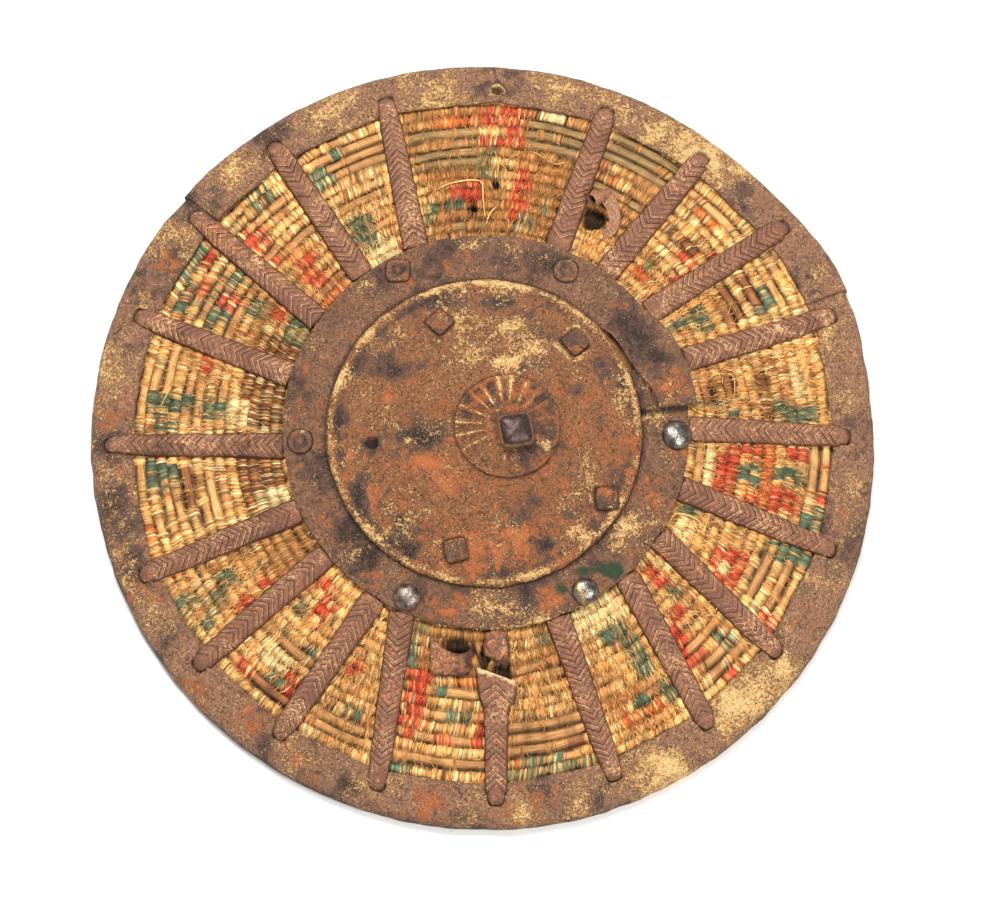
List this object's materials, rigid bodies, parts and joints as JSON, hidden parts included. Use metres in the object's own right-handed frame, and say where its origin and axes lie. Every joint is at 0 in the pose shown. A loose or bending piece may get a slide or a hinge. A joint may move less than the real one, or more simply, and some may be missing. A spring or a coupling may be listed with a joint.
{
  "type": "buckler shield",
  "caption": "Round cane buckler wound with coloured thread, with a rusted iron rim, radial herringbone bars, an open ring and a domed boss with a rosette and square finial.",
  "frame": {"origin": "middle of the bounding box at the surface that the rim's flat back flange lies on", "axes": "+Z out of the shield's face, +Y towards its top in the picture, +X to its right"},
  "size_m": [0.4796, 0.4816, 0.0698],
  "materials": {
    "rusted_iron": "rusted, with pale deposits",
    "bar_iron": "rusted, herringbone cut",
    "polished_steel": "polished, dark",
    "wound_cane": "wound with gold, red, teal and cream thread",
    "bare_cane": "bare, worn"
  },
  "bodies": {
    "root": {"rim_upper_strip": "rusted_iron", "rim_lower_strip": "rusted_iron", "domed_rivet_1": "polished_steel", "domed_rivet_2": "polished_steel", "domed_rivet_3": "polished_steel", "worn_rivet_1": "rusted_iron", "worn_rivet_2": "rusted_iron", "worn_rivet_3": "rusted_iron", "plate_nail_1": "rusted_iron", "plate_nail_2": "rusted_iron", "plate_nail_3": "rusted_iron", "plate_nail_4": "rusted_iron", "finial": "rusted_iron", "rosette": "rusted_iron", "boss_plate": "rusted_iron", "boss_ring": "rusted_iron", "bar_01": "bar_iron", "bar_02": "bar_iron", "bar_03": "bar_iron", "bar_04": "bar_iron", "bar_05": "bar_iron", "bar_06": "bar_iron", "bar_07": "bar_iron", "bar_08": "bar_iron", "bar_09": "bar_iron", "bar_10": "bar_iron", "bar_11": "bar_iron", "bar_12": "bar_iron", "bar_13": "bar_iron", "bar_14": "bar_iron", "bar_15": "bar_iron", "bar_16": "bar_iron", "bar_17": "bar_iron", "bar_18": "bar_iron", "bar_19": "bar_iron", "bar_stub": "bar_iron", "curled_strap": "bar_iron", "peeled_cane": "bare_cane", "cane_shell": "wound_cane"}
  },
  "joints": []
}
